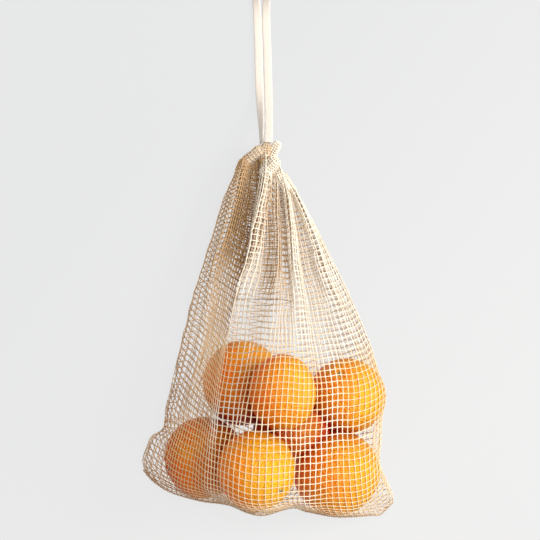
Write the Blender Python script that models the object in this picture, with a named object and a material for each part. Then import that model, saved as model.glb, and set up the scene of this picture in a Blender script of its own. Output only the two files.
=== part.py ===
"""A net produce bag full of oranges, lying on its back with its drawstring laid out straight.

X runs across the bag, Y from its bottom seam to its neck, and Z up from the floor that it lies on.
Two pieces: the filled net as one taut closed form, with its gathered hem at the neck, and the flat
drawstring, a single loop of tape whose two ends go into the hem.
The net is stretched over what is inside it like a tent over its poles. Each gore is the tightest
skin round a few balls (oranges, and small ones where the net is pinched or folded), and the gores
are joined into one solid, so that a crease shows wherever two of them meet.
"""

import math

import bmesh
import bpy
import numpy as np
from mathutils import Matrix, Vector

MM = 0.001

# ---- driving dimensions, in millimetres ----
NET_GAP = 1.4  # from an orange's peel to the outside of the net
REST_DEPTH = 0.9  # how much of each orange's underside is pressed flat by the floor
BALL_DETAIL = 4  # icosphere steps on an orange
PINCH_DETAIL = 2  # icosphere steps on a small ball
TURN_AXIS = (0.3, 0.5, 0.8)  # each gore's balls are turned about this axis, a step more each time,
TURN_STEP = 0.11  # so that no two gores have faces in the same plane
CREASE_DEG = 35.0  # faces that meet more sharply than this are shaded as a crease
CUT_TOLERANCE = 0.01  # how close to the floor a point may be and count as on it
SLIVER = 0.02  # edges shorter than this are closed up after the gores are joined

# Each orange: x, y and radius, and the height of its middle if it doesn't lie on the floor.
ORANGES = {
    "upper_left": (-27.0, -49.5, 39.0, None),
    "right": (78.5, -66.5, 38.0, None),
    "lower_left": (-63.5, -127.0, 40.0, None),
    "lower_right": (69.5, -143.5, 41.5, None),
    "buried": (20.5, -96.0, 27.0, 44.0),
    "top": (14.5, -62.0, 35.5, 99.0),
    "top_lower": (-11.0, -139.5, 39.0, 98.6),
}

# Where the net is folded, gathered or pinched: x, y, height and radius.
PINCHES = {
    "neck_left": (-19.0, 167.0, 21.0, 9.0),
    "neck_top": (-7.0, 172.0, 21.0, 11.0),
    "neck_middle": (2.0, 163.0, 24.0, 8.0),
    "neck_front": (14.0, 150.0, 26.0, 7.0),
    "neck_right": (21.0, 139.0, 20.0, 9.0),
    "left_fold_top": (-34.0, 136.0, 21.0, 9.5),
    "left_fold_upper": (-46.0, 90.0, 23.0, 10.0),
    "left_fold_middle": (-66.0, 30.0, 25.0, 11.0),
    "left_fold_lower": (-80.0, -30.0, 28.0, 11.0),
    "left_fold_base": (-97.0, -86.0, 24.0, 8.0),
    "right_fold_upper": (46.5, 88.0, 24.0, 9.0),
    "right_fold_middle": (74.0, 30.0, 28.0, 10.0),
    "right_fold_lower": (92.0, -12.0, 31.0, 10.0),
    "waist": (78.5, -111.0, 36.0, 28.0),
    "left_ear_top": (-115.5, -111.0, 14.0, 5.0),
    "left_ear": (-124.0, -134.0, 9.0, 4.5),
    "left_ear_low": (-118.5, -149.5, 8.0, 3.5),
    "right_ear": (125.5, -171.0, 8.0, 3.5),
    "right_ear_low": (116.0, -184.0, 9.0, 2.5),
}

# Gores: what each is stretched round, and how much of an orange's radius it reaches.
GORES = [
    (
        ("lower_left", 0.99),
        ("upper_left", 1.0),
        ("left_fold_top", 1.0),
        ("left_fold_upper", 1.0),
        ("left_fold_middle", 1.0),
        ("left_fold_lower", 1.0),
        ("left_fold_base", 1.0),
        ("neck_left", 1.0),
        ("neck_top", 1.0),
    ),
    (("upper_left", 0.985), ("neck_top", 0.97), ("neck_middle", 1.0)),
    (("top", 1.0), ("neck_middle", 0.97), ("neck_front", 1.0)),
    (("top", 0.985), ("top_lower", 0.985)),
    (
        ("right", 1.0),
        ("right_fold_upper", 1.0),
        ("right_fold_middle", 1.0),
        ("right_fold_lower", 1.0),
        ("neck_front", 0.97),
        ("neck_right", 1.0),
    ),
    (("right", 0.97), ("waist", 1.0)),
    (("lower_right", 1.0), ("waist", 0.97)),
    (("lower_left", 1.0), ("left_ear_top", 1.0), ("left_ear", 1.0), ("left_ear_low", 1.0)),
    (("top_lower", 1.0),),
    (("lower_right", 0.985), ("right_ear", 1.0), ("right_ear_low", 1.0)),
    (("top", 0.86), ("top_lower", 0.86), ("upper_left", 0.88), ("lower_left", 0.88)),
    (("top", 0.86), ("top_lower", 0.86), ("right", 0.88), ("lower_right", 0.88)),
    (("top_lower", 0.7), ("lower_left", 0.9), ("lower_right", 0.9), ("buried", 0.95)),
    (("upper_left", 0.9), ("right", 0.9), ("top", 0.8), ("neck_front", 0.9), ("neck_top", 0.9)),
    (
        ("upper_left", 0.975),
        ("right", 0.975),
        ("lower_left", 0.975),
        ("lower_right", 0.975),
        ("neck_right", 0.9),
        ("neck_left", 0.9),
    ),
]

# The bottom seam, from the left ear to the right: x, y, height, and the orange it is drawn to.
SEAM_RADIUS = 2.2
SEAM_WEB = 0.95  # how much of the orange's radius the net between it and the seam reaches
SEAM = [
    (-118.5, -149.5, 8.0, "lower_left"),
    (-98.0, -162.5, 20.0, "lower_left"),
    (-68.0, -169.8, 34.0, "lower_left"),
    (-40.0, -173.0, 46.0, "lower_left"),
    (-18.0, -179.5, 58.0, "top_lower"),
    (-3.0, -181.0, 60.0, "top_lower"),
    (24.0, -174.5, 54.0, "top_lower"),
    (40.0, -180.0, 46.0, "lower_right"),
    (70.0, -185.8, 37.0, "lower_right"),
    (104.0, -185.0, 20.0, "lower_right"),
    (116.0, -184.0, 9.0, "lower_right"),
]

# The gathered hem: lobes of folded net, each a bar between two balls (x, y, height, radius).
HEM_LOBES = [
    ((-26.0, 163.0, 21.0, 8.0), (-9.0, 177.5, 21.0, 8.0)),
    ((-8.0, 177.0, 15.0, 7.5), (5.0, 176.0, 15.0, 7.5)),
    ((-1.0, 168.0, 30.0, 6.5), (6.5, 154.0, 33.0, 6.5)),
    ((3.0, 168.0, 18.0, 6.0), (9.5, 184.0, 20.0, 4.2)),
    ((12.0, 149.0, 31.0, 6.0), (19.0, 141.0, 32.0, 6.0)),
    ((17.5, 149.0, 20.0, 6.5), (28.5, 135.0, 21.0, 7.0)),
]

TAPE_WIDTH = 8.2
TAPE_THICKNESS = 2.0
TAPE_STEP = 8.5  # distance between the points along the tape
ROUTE_SAMPLES = 600  # steps in which the smooth route is read
# The tape's middle line: x, y, height, and its turn in degrees, 0 flat and 90 on its edge.
DRAWSTRING_ROUTE = [
    (-6.4, 188.2, 23.0, 66),
    (-6.6, 198.0, 19.5, 60),
    (-7.2, 214.0, 12.5, 40),
    (-8.2, 234.0, 5.6, 16),
    (-9.0, 256.0, 2.2, 0),
    (-9.6, 284.0, 1.5, 0),
    (-10.6, 312.0, 1.5, 0),
    (-12.4, 336.0, 3.2, 30),
    (-16.4, 354.0, 4.6, 80),
    (-21.8, 370.0, 4.9, 90),
    (-20.0, 385.0, 4.9, 90),
    (-7.0, 394.0, 4.9, 90),
    (6.0, 385.0, 4.9, 90),
    (7.8, 370.0, 4.9, 90),
    (2.4, 354.0, 4.6, 100),
    (-1.2, 336.0, 3.2, 150),
    (-1.8, 312.0, 1.5, 180),
    (-0.8, 284.0, 1.5, 180),
    (-0.1, 256.0, 2.2, 180),
    (0.6, 234.0, 6.0, 180),
    (0.9, 214.0, 14.5, 180),
    (0.7, 198.0, 23.0, 180),
    (0.4, 188.2, 28.6, 180),
]

CREAM = (0.80, 0.68, 0.50)
PALE_TAPE = (0.84, 0.79, 0.70)


def ball(name):
    """Middle and radius of the net over an orange, or of a pinch."""
    if name in PINCHES:
        x, y, z, radius = PINCHES[name]
        return Vector((x, y, z)), radius, PINCH_DETAIL
    x, y, radius, height = ORANGES[name]
    outside = radius + NET_GAP
    return Vector((x, y, outside - REST_DEPTH if height is None else height)), outside, BALL_DETAIL


def add_ball(bm, middle, radius, detail, turn):
    place = Matrix.Translation(middle * MM) @ Matrix.Rotation(turn, 4, TURN_AXIS)
    bmesh.ops.create_icosphere(bm, subdivisions=detail, radius=radius * MM, matrix=place)


def skin_round(balls, turn):
    """The tightest closed skin round a few balls: (middle, radius, detail) of each."""
    bm = bmesh.new()
    for middle, radius, detail in balls:
        add_ball(bm, middle, radius, detail, turn)
    hull = bmesh.ops.convex_hull(bm, input=bm.verts[:], use_existing_faces=False)
    spare = {item for key in ("geom_interior", "geom_unused") for item in hull[key]}
    bmesh.ops.delete(bm, geom=[v for v in spare if isinstance(v, bmesh.types.BMVert)], context="VERTS")
    bm.normal_update()
    outer = {item for item in hull["geom"] if isinstance(item, bmesh.types.BMFace)}
    bmesh.ops.delete(bm, geom=[f for f in bm.faces if f not in outer], context="FACES_ONLY")
    bmesh.ops.recalc_face_normals(bm, faces=bm.faces)
    mesh = bpy.data.meshes.new("gore")
    bm.to_mesh(mesh)
    bm.free()
    return mesh


def all_gores():
    """Every skin that the bag is joined from: the gores, the seam's webs and the hem's lobes."""
    shapes = []
    for gore in GORES:
        members = []
        for name, share in gore:
            middle, radius, detail = ball(name)
            members.append((middle, radius * share, detail))
        shapes.append(members)
    for (x0, y0, z0, name), (x1, y1, z1, _) in zip(SEAM, SEAM[1:]):
        middle, radius, _ = ball(name)
        ends = [(Vector(p), SEAM_RADIUS, PINCH_DETAIL) for p in ((x0, y0, z0), (x1, y1, z1))]
        shapes.append([*ends, (middle, radius * SEAM_WEB, BALL_DETAIL - 1)])
    for lobe in HEM_LOBES:
        shapes.append([(Vector(end[:3]), end[3], PINCH_DETAIL + 1) for end in lobe])
    return [skin_round(members, TURN_STEP * n) for n, members in enumerate(shapes)]


def keep_outer_skin(bm):
    """Drops all but the largest connected skin, which fills any pocket that the gores close off."""
    left, skins = set(bm.verts), []
    while left:
        reached = [left.pop()]
        for vert in reached:
            near = {edge.other_vert(vert) for edge in vert.link_edges} & left
            left -= near
            reached.extend(near)
        skins.append(reached)
    skins.sort(key=len)
    bmesh.ops.delete(bm, geom=[vert for skin in skins[:-1] for vert in skin], context="VERTS")


def make_material(name, colour, roughness):
    material = bpy.data.materials.new(name)
    material.use_nodes = True
    shader = material.node_tree.nodes["Principled BSDF"]
    shader.inputs["Base Color"].default_value = (*colour, 1.0)
    shader.inputs["Roughness"].default_value = roughness
    shader.inputs["Metallic"].default_value = 0.0
    return material


def add_filled_net(material):
    """The filled net: all the gores joined, then pressed flat where it lies on the floor."""
    gores = bpy.data.collections.new("gores")
    meshes = all_gores()
    for mesh in meshes[1:]:
        gores.objects.link(bpy.data.objects.new("gore", mesh))
    net = bpy.data.objects.new("net_bag", meshes[0])
    bpy.context.scene.collection.objects.link(net)
    union = net.modifiers.new("join", "BOOLEAN")
    union.operation = "UNION"
    union.solver = "EXACT"
    union.operand_type = "COLLECTION"
    union.collection = gores
    joined = bpy.data.meshes.new_from_object(net.evaluated_get(bpy.context.evaluated_depsgraph_get()))
    net.modifiers.clear()
    for gore in list(gores.objects):
        bpy.data.objects.remove(gore)
    bpy.data.collections.remove(gores)
    bm = bmesh.new()
    bm.from_mesh(joined)
    keep_outer_skin(bm)
    whole = bm.verts[:] + bm.edges[:] + bm.faces[:]
    cut = bmesh.ops.bisect_plane(
        bm, geom=whole, dist=CUT_TOLERANCE * MM, plane_co=(0, 0, 0), plane_no=(0, 0, 1), clear_inner=True
    )
    rim = [item for item in cut["geom_cut"] if isinstance(item, bmesh.types.BMEdge)]
    bmesh.ops.holes_fill(bm, edges=rim, sides=0)
    bmesh.ops.dissolve_degenerate(bm, dist=SLIVER * MM, edges=bm.edges[:])
    bmesh.ops.triangulate(bm, faces=bm.faces[:])
    bmesh.ops.recalc_face_normals(bm, faces=bm.faces[:])
    bm.to_mesh(joined)
    bm.free()
    joined.shade_smooth()
    joined.set_sharp_from_angle(angle=math.radians(CREASE_DEG))
    joined.materials.clear()
    joined.materials.append(material)
    net.data = joined
    joined.name = "net_bag"
    return net


def through(points, share):
    """A point on the smooth curve through the given points; share runs from 0 to 1."""
    spans = len(points) - 1
    place = min(max(share, 0.0), 1.0) * spans
    i = min(int(place), spans - 1)
    t = place - i
    here, there = np.array(points[i], float), np.array(points[i + 1], float)
    before = np.array(points[i - 1], float) if i > 0 else 2 * here - there
    after = np.array(points[i + 2], float) if i + 2 <= spans else 2 * there - here
    return 0.5 * (
        2 * here
        + (there - before) * t
        + (2 * before - 5 * here + 4 * there - after) * t**2
        + (3 * here - 3 * there + after - before) * t**3
    )


def tape_stations():
    """Points along the drawstring about TAPE_STEP apart, each with its turn in degrees."""
    fine = [through(DRAWSTRING_ROUTE, n / ROUTE_SAMPLES) for n in range(ROUTE_SAMPLES + 1)]
    stations, travelled = [fine[0]], 0.0
    for a, b in zip(fine, fine[1:]):
        travelled += float(np.linalg.norm(b[:3] - a[:3]))
        if travelled >= TAPE_STEP:
            stations.append(b)
            travelled = 0.0
    if travelled < TAPE_STEP / 2:
        stations.pop()
    return stations + [fine[-1]]


def add_drawstring(material):
    """The flat tape: a curve with a flat rounded section, turned as it goes."""
    stations = tape_stations()
    curve = bpy.data.curves.new("drawstring", "CURVE")
    curve.dimensions = "3D"
    curve.twist_mode = "Z_UP"
    curve.bevel_depth = TAPE_THICKNESS / 2 * MM
    curve.extrude = (TAPE_WIDTH - TAPE_THICKNESS) / 2 * MM
    curve.bevel_resolution = 2
    curve.use_fill_caps = True
    spline = curve.splines.new("POLY")
    spline.points.add(len(stations) - 1)
    for point, (x, y, z, turn) in zip(spline.points, stations):
        point.co = (x * MM, y * MM, z * MM, 1.0)
        point.tilt = math.radians(90 - turn)
    curve.materials.append(material)
    tape = bpy.data.objects.new("drawstring", curve)
    bpy.context.scene.collection.objects.link(tape)
    return tape


def main():
    for obj in list(bpy.data.objects):
        bpy.data.objects.remove(obj)
    add_filled_net(make_material("undyed net", CREAM, 0.9))
    add_drawstring(make_material("pale tape", PALE_TAPE, 0.9))


main()
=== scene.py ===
import math

import bpy
import numpy as np
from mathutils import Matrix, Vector
from mathutils.bvhtree import BVHTree


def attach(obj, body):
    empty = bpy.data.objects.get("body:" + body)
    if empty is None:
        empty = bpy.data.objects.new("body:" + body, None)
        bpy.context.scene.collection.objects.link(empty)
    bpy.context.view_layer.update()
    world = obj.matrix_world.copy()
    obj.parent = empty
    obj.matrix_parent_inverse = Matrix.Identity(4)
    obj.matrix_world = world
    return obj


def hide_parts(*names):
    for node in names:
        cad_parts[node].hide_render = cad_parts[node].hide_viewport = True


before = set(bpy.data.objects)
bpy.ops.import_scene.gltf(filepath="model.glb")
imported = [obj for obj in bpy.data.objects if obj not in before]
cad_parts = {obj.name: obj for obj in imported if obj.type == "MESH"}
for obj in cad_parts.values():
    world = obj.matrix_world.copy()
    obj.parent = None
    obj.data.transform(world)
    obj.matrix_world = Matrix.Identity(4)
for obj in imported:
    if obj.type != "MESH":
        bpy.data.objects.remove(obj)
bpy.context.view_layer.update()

# A net produce bag full of oranges, lying on its back: X across, Y from the seam to the neck, Z up.

bpy.context.scene.view_settings.view_transform = "Standard"
bpy.context.scene.view_settings.look = "None"


# small helpers that several pieces use

mm = 0.001
textureLength = 0.01  # how much yarn or tape one repeat of its texture covers


def deselectAll():
    if bpy.context.object and bpy.context.object.mode != "OBJECT":
        bpy.ops.object.mode_set(mode="OBJECT")
    bpy.ops.object.select_all(action="DESELECT")


def ease(low, high, value):
    t = np.clip((np.asarray(value, float) - low) / (high - low), 0, 1)
    return t * t * (3 - 2 * t)


def smoothCurve(a, b, c, d, t):
    # from b at t = 0 to c at t = 1, led by a before them and d after them
    return 0.5 * (2 * b + (c - a) * t + (2 * a - 5 * b + 4 * c - d) * t**2 + (3 * b - 3 * c + d - a) * t**3)


def alongCurve(points, shares):
    # points on the smooth curve through a short list, at shares from 0 to 1
    p = np.asarray(points, float)
    p = np.vstack([2 * p[0] - p[1], p, 2 * p[-1] - p[-2]])
    place = np.clip(np.asarray(shares, float), 0, 1) * (len(p) - 3)
    i = np.minimum(place.astype(int), len(p) - 4)
    return smoothCurve(p[i], p[i + 1], p[i + 2], p[i + 3], (place - i)[..., None])


def travelledAlong(line):
    # how far along a line each of its points is, from its first three columns at most
    return np.concatenate([[0], np.cumsum(np.linalg.norm(np.diff(line[:, :3], axis=0), axis=1))])


def columnsAt(where, known, line):
    # a line's columns at other places along it
    return np.column_stack([np.interp(where, known, line[:, k]) for k in range(line.shape[1])])


def evenly(line, shares):
    # points at shares of the length of a line
    travelled = travelledAlong(line)
    return columnsAt(np.asarray(shares, float) * travelled[-1], travelled, line)


def fromTable(where, table):
    # a value from a table of (place, value) pairs
    return np.interp(where, *np.array(table).T)


def unit(vectors):
    return vectors / np.maximum(np.linalg.norm(vectors, axis=-1, keepdims=True), 1e-12)


def beside(forward):
    # the level way across each direction, and the way that is square to both
    side = unit(np.cross(forward, [0, 0, 1.0]))
    return side, np.cross(side, forward)


def finer(lines, steps):
    # puts steps - 1 new points between each two points of every line, on a smooth curve
    count = lines.shape[1]
    before, after = 2 * lines[:, :1] - lines[:, 1:2], 2 * lines[:, -1:] - lines[:, -2:-1]
    padded = np.concatenate([before, lines, after], axis=1)
    shares = np.arange((count - 1) * steps + 1) / steps
    i = np.minimum(shares.astype(int), count - 2)
    return smoothCurve(*(padded[:, i + k] for k in range(4)), (shares - i)[None, :, None])


def meshPiece(name, points, faces, material):
    mesh = bpy.data.meshes.new(name)
    mesh.from_pydata(points.reshape(-1, 3).tolist(), [], faces)
    mesh.shade_smooth()
    mesh.materials.append(material)
    piece = bpy.data.objects.new(name, mesh)
    bpy.context.scene.collection.objects.link(piece)
    return piece


def addUvs(mesh, uvs):
    layer = mesh.uv_layers.new(name="UVMap")
    layer.data.foreach_set("uv", uvs.astype(np.float32).ravel())


def tubeFaces(count, length, sides):
    # walls and ends of many tubes, whose points are numbered by tube, ring and side
    index = np.arange(count * length * sides).reshape(count, length, sides)
    following = np.roll(index, -1, axis=2)
    quads = np.stack([index[:, :-1], following[:, :-1], following[:, 1:], index[:, 1:]], axis=-1)
    return quads.reshape(-1, 4).tolist() + np.concatenate([index[:, 0, ::-1], index[:, -1]]).tolist()


def tubePoints(lines, normals, radii, sides):
    ahead = unit(np.gradient(lines, axis=1))
    across = unit(np.cross(ahead, normals))
    upright = np.cross(across, ahead)
    angles = 2 * math.pi * np.arange(sides) / sides
    ring = across[:, :, None] * np.cos(angles)[:, None] + upright[:, :, None] * np.sin(angles)[:, None]
    return lines[:, :, None] + ring * radii[:, :, None, None]


def tubeUvs(lines, sides):
    # one pair for each corner of the walls: length along the tube, and share of the way round it
    count, length = lines.shape[:2]
    gaps = np.linalg.norm(np.diff(lines, axis=1), axis=2)
    run = np.concatenate([np.zeros((count, 1)), np.cumsum(gaps, axis=1)], axis=1) / textureLength
    u = np.broadcast_to(run[:, :, None], (count, length, sides + 1))
    v = np.broadcast_to(np.arange(sides + 1) / sides, (count, length, sides + 1))
    uv = np.stack([u, v], axis=-1)
    corners = np.stack([uv[:, :-1, :-1], uv[:, :-1, 1:], uv[:, 1:, 1:], uv[:, 1:, :-1]], axis=-2)
    return corners.reshape(-1, 2)


def yarnPiece(name, lines, normals, radii, material, sides=6, **marks):
    # tubes along many lines at once: lines and normals are (line, point, 3), radii and marks (line, point)
    points = tubePoints(lines, normals, radii, sides)
    piece = meshPiece(name, points, tubeFaces(*lines.shape[:2], sides), material)
    mesh = piece.data
    walls = tubeUvs(lines, sides)
    addUvs(mesh, np.concatenate([walls, np.zeros((len(mesh.loops) - len(walls), 2))]))
    for mark, values in marks.items():
        layer = mesh.attributes.new(mark, "FLOAT", "POINT")
        layer.data.foreach_set("value", np.repeat(values.ravel(), sides).astype(np.float32))
    return piece


# materials


def newMaterial(name):
    material = bpy.data.materials.new(name)
    material.use_nodes = True
    return material, material.node_tree, material.node_tree.nodes["Principled BSDF"]


def connect(node, inputs):
    # gives each input another node's output, or a value
    for key, value in inputs.items():
        if isinstance(value, bpy.types.NodeSocket):
            node.id_data.links.new(value, node.inputs[key])
        else:
            node.inputs[key].default_value = value


def addNode(tree, kind, output, inputs=None, **settings):
    # adds a node, and gives back the output that is wanted of it
    node = tree.nodes.new("ShaderNode" + kind)
    for key, value in settings.items():
        setattr(node, key, value)
    connect(node, inputs or {})
    return node.outputs[output]


def addRamp(tree, share, *stops):
    colour = addNode(tree, "ValToRGB", "Color", {"Fac": share})
    for element, (position, tone) in zip(colour.node.color_ramp.elements, stops):
        element.position = position
        element.color = (*tone, 1)
    return colour


def towards(tree, mark, colour, other):
    # turns a colour into another one, by a mark on the mesh
    share = addNode(tree, "Attribute", "Fac", attribute_name=mark)
    inputs = {"Factor": share, "A": colour, "B": (*other, 1)}
    return addNode(tree, "Mix", "Result", inputs, data_type="RGBA")


def yarnFinish(name, tones):
    # undyed twisted yarn: slanting fibres along it, paler and darker stretches, and painted shade that browns
    # it by a mark on the mesh
    pale, dark, inPaintedShade = tones
    material, tree, shader = newMaterial(name)
    along = addNode(tree, "TexCoord", "UV")
    place = addNode(tree, "TexCoord", "Object")
    slant = {"Vector": along, "Scale": (7.0, 2.0, 1.0), "Rotation": (0.0, 0.0, 0.55)}
    slanting = addNode(tree, "Mapping", "Vector", slant)
    fibres = {"Vector": slanting, "Scale": 3.0, "Distortion": 1.2, "Detail": 2.0}
    fibre = addNode(tree, "TexWave", "Fac", fibres)
    patch = addNode(tree, "TexNoise", "Fac", {"Vector": place, "Scale": 60.0, "Detail": 4.0})
    tone = addNode(tree, "Math", "Value", {0: fibre, 1: 0.35, 2: patch}, operation="MULTIPLY_ADD")
    colour = addRamp(tree, tone, (0.25, dark), (0.62, pale))
    # painted shade: yarn is browned deep in the folds, where cells crowd, near the seam and on the far side
    colour = towards(tree, "foldDepth", colour, inPaintedShade)
    # painted bounce light: yarn on or near the peel is painted warmer, for the orange light that the peel
    # throws onto it
    colour = towards(tree, "onPeel", colour, (0.90, 0.62, 0.30))
    relief = addNode(tree, "Bump", "Normal", {"Height": fibre, "Strength": 0.5, "Distance": 0.0003})
    connect(shader, {
        "Base Color": colour, "Normal": relief, "Roughness": 0.85, "Specular IOR Level": 0.2,
        "Sheen Weight": 0.25, "Sheen Roughness": 0.5,
    })
    return material


def peelFinish(name, deep, bright):
    # orange peel: pores, a slow drift between yellow and red-orange, painted light and shade, and a soft wax
    # gloss
    material, tree, shader = newMaterial(name)
    place = addNode(tree, "TexCoord", "Object")
    drifts = {"Vector": place, "Scale": 14.0, "Detail": 8.0, "Roughness": 0.66}
    drift = addNode(tree, "TexNoise", "Fac", drifts)
    # painted light and shade: the side that faces the key light is painted yellower, the side away from it
    # redder
    facing = addNode(tree, "NewGeometry", "Normal")
    side = addNode(tree, "VectorMath", "Value", {0: facing, 1: (0.28, 0.0, 0.06)}, operation="DOT_PRODUCT")
    driftAndLitSide = addNode(tree, "Math", "Value", {0: drift, 1: side}, operation="ADD")
    colour = addRamp(tree, driftAndLitSide, (0.3, deep), (0.7, bright))
    pore = addNode(tree, "TexVoronoi", "Distance", {"Vector": place, "Scale": 480.0})
    pit = addNode(tree, "TexNoise", "Fac", {"Vector": place, "Scale": 240.0, "Detail": 3.0})
    height = addNode(tree, "Math", "Value", {0: pore, 1: pit}, operation="ADD")
    relief = addNode(tree, "Bump", "Normal", {"Height": height, "Strength": 0.8, "Distance": 0.0016})
    connect(shader, {
        "Base Color": towards(tree, "creviceShade", colour, peel["creviceShade"]), "Normal": relief,
        "Roughness": 0.42, "Specular IOR Level": 0.28, "Subsurface Weight": 0.3,
        "Subsurface Radius": (0.010, 0.0024, 0.0005), "Subsurface Scale": 1.0,
    })
    return material


def tapeFinish():
    # pale cotton tape: a slanting weave, and a fine grain
    material, tree, shader = newMaterial("cotton tape")
    along = addNode(tree, "TexCoord", "UV")
    place = addNode(tree, "TexCoord", "Object")
    weaves = {"Vector": along, "Scale": 9.0, "Distortion": 0.6}
    weave = addNode(tree, "TexWave", "Fac", weaves, bands_direction="DIAGONAL")
    grain = addNode(tree, "TexNoise", "Fac", {"Vector": place, "Scale": 700.0, "Detail": 4.0})
    relief = addNode(tree, "Bump", "Normal", {"Height": weave, "Strength": 0.4, "Distance": 0.0004})
    connect(shader, {
        "Base Color": addRamp(tree, grain, (0.3, (0.76, 0.68, 0.60)), (0.6, (0.75, 0.685, 0.625))),
        "Normal": relief, "Roughness": 0.9, "Specular IOR Level": 0.15, "Sheen Weight": 0.3,
    })
    return material


def stalkFinish():
    # the dry grey-green end of the stalk
    material, tree, shader = newMaterial("stalk end")
    place = addNode(tree, "TexCoord", "Object")
    grain = addNode(tree, "TexNoise", "Fac", {"Vector": place, "Scale": 900.0, "Detail": 3.0})
    colour = addRamp(tree, grain, (0.35, (0.10, 0.11, 0.05)), (0.65, (0.34, 0.33, 0.20)))
    connect(shader, {"Base Color": colour, "Roughness": 0.8})
    return material


# camera, straight above the bag, with a long lens

cameraSetup = {
    "middle": (0.002, 0.060),
    "height": 3.0,
    "plane": 0.04,  # height at which the picture is as wide as frame
    "frame": 0.540, "sensor": 36.0, "clipEnd": 20.0,
}


def addCamera():
    lens = cameraSetup
    bpy.ops.object.camera_add(location=(*lens["middle"], lens["height"]), rotation=(0, 0, 0))
    camera = bpy.context.object
    camera.data.sensor_width = lens["sensor"]
    camera.data.lens = lens["sensor"] * (lens["height"] - lens["plane"]) / lens["frame"]
    camera.data.clip_end = lens["clipEnd"]
    bpy.context.scene.camera = camera


addCamera()
print("camera set")

# drawstring: one flat tape, out along the left strand, round a loop and back along the right one

tape = {
    "width": 0.0082, "thickness": 0.0018, "samples": 1201, "step": 0.004,
    "sides": 20,
    "roundness": (0.5, 0.8),  # of its width and its thickness, 0 square and 1 round
    "crease": (0.35, 0.0011),  # share of the thickness, and half width, of the soft crease along its middle
    # x, y, height, and turn in degrees, 0 flat and 90 on its edge
    "route": [
        (-0.0064, 0.1882, 0.023, 66), (-0.0066, 0.198, 0.0195, 60), (-0.0072, 0.214, 0.0125, 40),
        (-0.0082, 0.234, 0.0056, 16), (-0.009, 0.256, 0.0022, 0), (-0.0096, 0.284, 0.0015, 0),
        (-0.0106, 0.312, 0.0015, 0), (-0.0124, 0.336, 0.0032, 30), (-0.0164, 0.354, 0.0046, 80),
        (-0.0218, 0.37, 0.0049, 90), (-0.02, 0.385, 0.0049, 90), (-0.007, 0.394, 0.0049, 90),
        (0.006, 0.385, 0.0049, 90), (0.0078, 0.37, 0.0049, 90), (0.0024, 0.354, 0.0046, 100),
        (-0.0012, 0.336, 0.0032, 150), (-0.0018, 0.312, 0.0015, 180), (-0.0008, 0.284, 0.0015, 180),
        (-0.0001, 0.256, 0.0022, 180), (0.0006, 0.234, 0.006, 180), (0.0009, 0.214, 0.0145, 180),
        (0.0007, 0.198, 0.023, 180), (0.0004, 0.1882, 0.0286, 180),
    ],
}


def makeDrawstring():
    fine = alongCurve(tape["route"], np.linspace(0, 1, tape["samples"]))
    length = travelledAlong(fine)[-1]
    stations = evenly(fine, np.linspace(0, 1, int(length / tape["step"])))
    path = stations[:, :3]
    forward = unit(np.gradient(path, axis=0))
    level, upright = beside(forward)
    turned = np.radians(stations[:, 3])[:, None]
    wideWay = level * np.cos(turned) + upright * np.sin(turned)
    thinWay = upright * np.cos(turned) - level * np.sin(turned)
    sides = tape["sides"]
    angles = 2 * math.pi * (np.arange(sides) + 0.5) / sides
    wide, thin = (
        np.sign(wave(angles)) * np.abs(wave(angles)) ** power * size / 2
        for wave, power, size in zip((np.cos, np.sin), tape["roundness"], (tape["width"], tape["thickness"]))
    )
    deep, halfWidth = tape["crease"]
    thin = thin * (1 - deep * np.exp(-((wide / halfWidth) ** 2)))
    ring = path[:, None] + wideWay[:, None] * wide[:, None] + thinWay[:, None] * thin[:, None]
    count = len(path)
    index = np.arange(count * sides).reshape(count, sides)
    following = np.roll(index, -1, axis=1)
    quads = np.stack([index[:-1], index[1:], following[1:], following[:-1]], axis=-1).reshape(-1, 4)
    ends = [index[0].tolist(), index[-1][::-1].tolist()]
    piece = meshPiece("drawstring_tape", ring, quads.tolist() + ends, tapeFinish())
    run = np.linspace(0, length / textureLength, count)
    corners = [divmod(loop.vertex_index, sides) for loop in piece.data.loops]
    addUvs(piece.data, np.array([(run[station], side / sides) for station, side in corners]))
    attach(piece, "root")
    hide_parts("drawstring")
    print("drawstring made,", round(float(length), 3), "m of tape")


makeDrawstring()

# oranges: middle, half sizes, which way the stem end points, how yellow each is (its own tint, partly painted
# shade), and how dark the painted shade on peel that is close to another orange

orangeList = {
    "orangeUpperLeft": {
        "middle": (-0.0255, -0.0532, 0.0395), "size": (0.0395, 0.0425, 0.039),
        "stem": (-0.5, 0.6, 0.2), "yellow": 0.6, "creviceShadeStrength": 1.4,
    },
    "orangeRight": {
        "middle": (0.0785, -0.0665, 0.0385), "size": (0.0385, 0.038, 0.038),
        "stem": (-0.17, 0.64, 0.74), "yellow": 0.5, "creviceShadeStrength": 0.75,
    },
    "orangeLowerLeft": {
        "middle": (-0.0635, -0.127, 0.0405), "size": (0.04, 0.0405, 0.04),
        "stem": (-0.8, -0.2, 0.3), "yellow": -1.3, "creviceShadeStrength": 1.0,
    },
    "orangeLowerRight": {
        "middle": (0.0682, -0.1425, 0.0425), "size": (0.0432, 0.0425, 0.042),
        "stem": (0.4, -0.3, -0.8), "yellow": 0.2, "creviceShadeStrength": 0.65,
    },
    "orangeBuried": {
        "middle": (0.0235, -0.099, 0.05), "size": (0.0385, 0.028, 0.025),
        "stem": (0.2, 0.2, -1.0), "yellow": -1.0, "creviceShadeStrength": 0.8,
    },
    "orangeTop": {
        "middle": (0.0143, -0.06, 0.1), "size": (0.033, 0.0378, 0.0345),
        "stem": (0.1, 1.0, -0.2), "yellow": 0.3, "creviceShadeStrength": 1.0,
    },
    "orangeTopLower": {
        "middle": (-0.0114, -0.1366, 0.0986), "size": (0.0382, 0.0394, 0.0388),
        "stem": (0.62, -0.53, 0.58), "yellow": 1.0, "creviceShadeStrength": 1.0,
    },
}
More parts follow.
